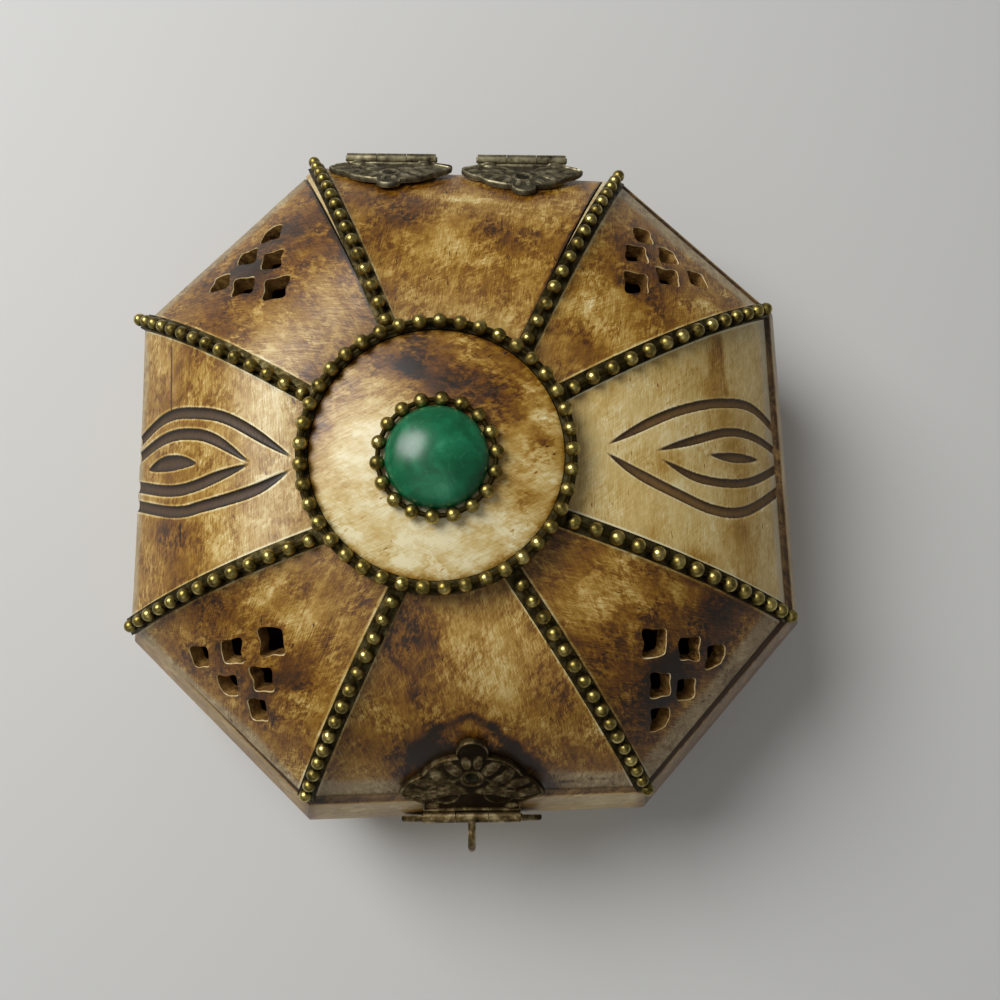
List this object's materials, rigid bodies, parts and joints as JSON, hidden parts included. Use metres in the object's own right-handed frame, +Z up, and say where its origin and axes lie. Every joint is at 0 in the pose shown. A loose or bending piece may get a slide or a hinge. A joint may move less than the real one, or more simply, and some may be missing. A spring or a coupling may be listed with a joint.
{
  "type": "hinged trinket box",
  "caption": "Low octagonal bone box with bowed walls and a domed lid: pierced panels, beaded brass ridges, a green stone on top, hinges behind and a hasp in front.",
  "frame": {"origin": "on the table under the middle of the box's octagon", "axes": "+Z up, +Y to the hinges at the back, -Y to the hasp at the front, +X to the right"},
  "size_m": [0.1399, 0.1454, 0.0759],
  "materials": {
    "panel_bone": "polished stained bone",
    "wall_bone": "polished stained bone",
    "disc_bone": "polished stained bone",
    "board": "plain board",
    "dark_brass": "dark patina",
    "bead_brass": "aged brass",
    "hinge_brass": "antique grey brass",
    "nail_brass": "dark brass",
    "stone": "polished green stone"
  },
  "bodies": {
    "base": {"base_board": "board", "wall_back": "wall_bone", "wall_back_right": "wall_bone", "wall_right": "wall_bone", "wall_front_right": "wall_bone", "wall_front": "wall_bone", "wall_front_left": "wall_bone", "wall_left": "wall_bone", "wall_back_left": "wall_bone", "hinge_base_leaf_left": "hinge_brass", "hinge_pin_left": "hinge_brass", "hinge_base_leaf_right": "hinge_brass", "hinge_pin_right": "hinge_brass", "staple": "hinge_brass", "base_nails": "nail_brass"},
    "lid": {"lid_panel_back": "panel_bone", "lid_panel_back_right": "panel_bone", "lid_panel_right": "panel_bone", "lid_panel_front_right": "panel_bone", "lid_panel_front": "panel_bone", "lid_panel_front_left": "panel_bone", "lid_panel_left": "panel_bone", "lid_panel_back_left": "panel_bone", "ridge_strip_back_left": "dark_brass", "ridge_beads_back_left": "bead_brass", "ridge_strip_back_right": "dark_brass", "ridge_beads_back_right": "bead_brass", "ridge_strip_right_back": "dark_brass", "ridge_beads_right_back": "bead_brass", "ridge_strip_right_front": "dark_brass", "ridge_beads_right_front": "bead_brass", "ridge_strip_front_right": "dark_brass", "ridge_beads_front_right": "bead_brass", "ridge_strip_front_left": "dark_brass", "ridge_beads_front_left": "bead_brass", "ridge_strip_left_front": "dark_brass", "ridge_beads_left_front": "bead_brass", "ridge_strip_left_back": "dark_brass", "ridge_beads_left_back": "bead_brass", "lid_sliver_back_left": "panel_bone", "lid_sliver_back_right": "panel_bone", "hinge_lid_leaf_left": "hinge_brass", "hinge_lid_leaf_right": "hinge_brass", "lid_disc": "disc_bone", "disc_band": "dark_brass", "disc_beads": "bead_brass", "stone": "stone", "stone_beads": "bead_brass", "hasp_lid_leaf": "hinge_brass", "hasp_pin": "hinge_brass", "lid_nails": "nail_brass"},
    "hasp": {"hasp_drop_leaf": "hinge_brass"}
  },
  "joints": [
    {"name": "lid_hinge", "type": "hinge", "parent": "base", "child": "lid", "pos_m": [0, 0.06637, 0.04205], "axis": [-1, 0, 0], "range_deg": [0, 105]},
    {"name": "hasp_hinge", "type": "hinge", "parent": "lid", "child": "hasp", "pos_m": [0.0022, -0.06758, 0.04054], "axis": [-1, 0, 0], "range_deg": [0, 120]}
  ]
}
